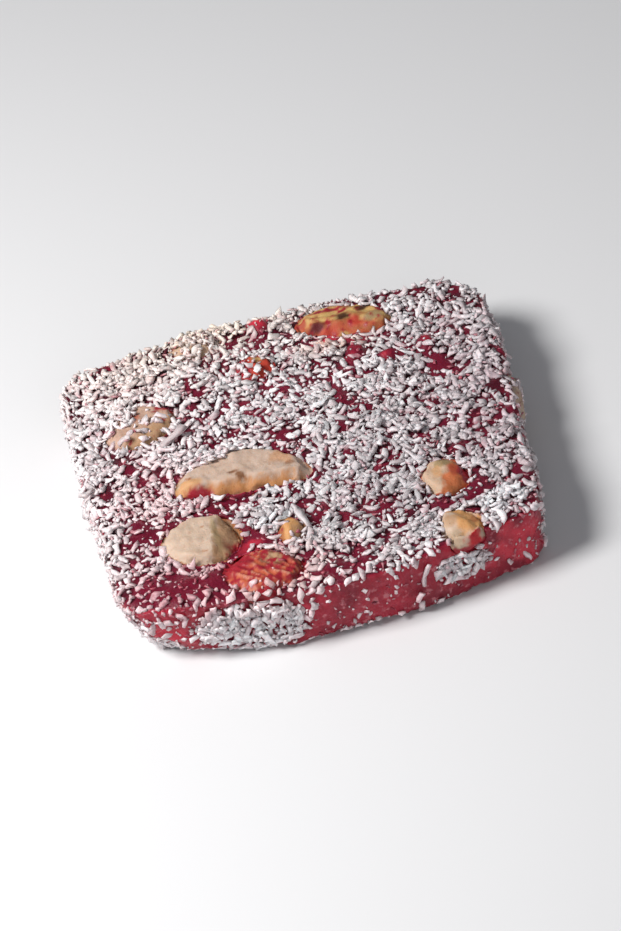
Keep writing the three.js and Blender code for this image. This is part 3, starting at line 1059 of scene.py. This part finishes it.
def flake_shapes(sections, size, rng):
    """The corner points of slivers of these sizes, each lying along x round the origin."""
    template, triangles = strip_template(sections)
    along, across, up = template.T
    count = len(size)
    ends = rng.uniform(*END_WIDTH, (count, 2))
    taper = ends[:, :1] * (0.5 - along) + ends[:, 1:] * (0.5 + along)
    endward = 4 * along**2  # 0 in a flake's middle and 1 at its ends
    width = taper + (1 - taper) * (1 - endward)
    width *= np.where(up > 0, rng.uniform(*UPPER_WIDTH, (count, 1)), 1.0)
    shapes = template[None] * size[:, None]
    shapes[:, :, 1] *= width
    shapes[:, :, 2] *= 1 - THINNING + THINNING * width
    shapes[:, :, 0] += rng.normal(0, SLANT, (count, 1)) * shapes[:, :, 1] * endward
    shapes[:, :, 1] += rng.normal(0, BEND_ASIDE, (count, 1)) * size[:, :1] * endward
    shapes[:, :, 2] += rng.normal(*BEND_UP, (count, 1)) * size[:, :1] * endward
    wring = along * rng.normal(0, WRING, (count, 1))
    y, z = shapes[:, :, 1].copy(), shapes[:, :, 2].copy()
    shapes[:, :, 1] = y * np.cos(wring) - z * np.sin(wring)
    shapes[:, :, 2] = y * np.sin(wring) + z * np.cos(wring)
    shapes += rng.normal(0, ROUGHNESS, shapes.shape) * size[:, None, 1:2]
    return shapes, triangles


def flake_colours(points, heights, coat, wetness, rng):
    """White flakes, pinker near the jelly and where the coat is thin, with a few soaked through."""
    count = len(points)
    extra = wetness + THIN_COAT_JUICE * ramp(coat, *THIN_COAT)
    soaked = np.clip(rng.beta(*SOAKING, (count, 1)) + extra[:, None], 0, 1)
    near = ramp(heights, JUICE_REACH[0] + wetness, JUICE_REACH[1])
    pink = np.clip(PINK_SHARES[0] * soaked + PINK_SHARES[1] * near, 0, 1)[:, :, None] * PINK_LIMIT
    red = np.clip((soaked - RED_FROM) * RED_GAIN * near, 0, 1)[:, :, None]
    white = np.tile(FLAKE_WHITE, (count, 1))
    # Some tints are painted light at the back left and painted shade towards the right and front.
    for where, radii, colour, strength in TINTS_AND_PAINTED_LIGHT:
        share = strength * nearness(points, place(*where), radii) * rng.uniform(*TINT_SPREAD, count)
        white = tinted(white, colour, np.minimum(share, 1))
    clouds = 1 + layered(points, CLOUDS, SEEDS["brightness"])
    bright = (white * rng.uniform(*BRIGHTNESS, (count, 1)) * clouds[:, None])[:, None]
    colour = bright * (1 - pink) + FLAKE_PINK * pink
    return colour * (1 - red) + FLAKE_RED * red


def with_lone_shreds(flakes, skin):
    """The flakes, with the lone shreds laid on top."""
    columns = [list(column) for column in flakes]
    for (u, v), heading, size in LONE_SHREDS:
        above = Vector(place(u, v, SHRED_DROP))
        spot, normal, _, _ = skin.tree.ray_cast(above, Vector((0, 0, -1)))
        guide = np.append(level_vector(heading + 90), 0)
        row = (np.array(spot), np.array(normal), guide, np.array(size), SHRED_LIFT, THICKEST)
        for column, value in zip(columns, row):
            column.append(value)
    return tuple(np.array(column) for column in columns)


def make_coconut(kind, flakes, material, seed):
    rng = np.random.default_rng(seed)
    points, normals, guide, size, lift, thickness = flakes
    shapes, triangles = flake_shapes(kind["sections"], size, rng)
    under = ramp(normals[:, 2], *UNDER_TURN)
    tilt = kind["tilt"] * (1 - under) + UNDER_TILT * under
    shapes = np.einsum("nvi,nij->nvj", shapes, flake_axes(normals, guide, tilt, rng))
    lift = (lift + RESTING * size[:, 2]) * (1 - under)
    heights = (shapes * normals[:, None]).sum(axis=2) + lift[:, None]
    shapes += (points + normals * lift[:, None])[:, None]
    lowest = shapes[:, :, 2].min(axis=1)
    shapes[:, :, 2] += np.maximum(CLEARANCE["flake"] - lowest, 0)[:, None]
    starts = np.arange(len(points)) * shapes.shape[1]
    faces = (triangles[None] + starts[:, None, None]).reshape(-1, 3)
    mesh = mesh_from(kind["name"], shapes.reshape(-1, 3), faces)
    colours = flake_colours(points, heights, thickness, kind["wetness"], rng)
    store(mesh, "tint", colours.reshape(-1, 3))
    mesh.materials.append(material)
    coat = show(mesh)
    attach(coat, "root")


def coconut_material():
    paint = Paint("coconut")
    tint = paint.kept("tint", "Color")
    fibre = paint.window(paint.noise(0.35, 3), 0.3, 0.75)
    colour = paint.blend(paint.times(fibre, 0.35), tint, (0.62, 0.57, 0.56), "MULTIPLY")
    paint.set(
        Base_Color=colour,
        Roughness=paint.window(paint.noise(0.8), 0.3, 0.7, 0.45, 0.7),
        Subsurface_Weight=0.5,
        Subsurface_Radius=(1, 0.8, 0.75),
        Subsurface_Scale=0.0007,
        Normal=paint.bump(paint.noise(0.18, 2), 0.03),
    )
    return paint.material


# ---- Floor ----


def make_floor():
    points = FLOOR_HALF * np.array([[-1, -1, 0], [1, -1, 0], [1, 1, 0], [-1, 1, 0]])
    floor = show(mesh_from("floor", points, np.array([[0, 1, 2, 3]])))
    paint = Paint("floor")
    paint.set(Base_Color=FLOOR_COLOUR, Roughness=FLOOR_ROUGHNESS)
    floor.data.materials.append(paint.material)


# ---- The scene ----

make_camera()
for lamp in LAMPS:
    make_lamp(*lamp)
make_world()
make_floor()
bpy.context.scene.view_settings.view_transform = "Standard"

skin = Skin()
jelly = make_jelly(skin)
nut_flesh = nut_material()
nuts = [make_nut(name, skin, nut_flesh, SEEDS["nuts"] + NUT_SEEDS * k) for k, name in enumerate(NUTS)]
coconut = coconut_material()
landed = scattered(Ground(jelly, nuts, skin))
for index, (kind, flakes) in enumerate(zip(KINDS, landed)):
    if kind["name"] == "coconut_shreds":
        flakes = with_lone_shreds(flakes, skin)
    make_coconut(kind, flakes, coconut, SEEDS["flakes"] + index)
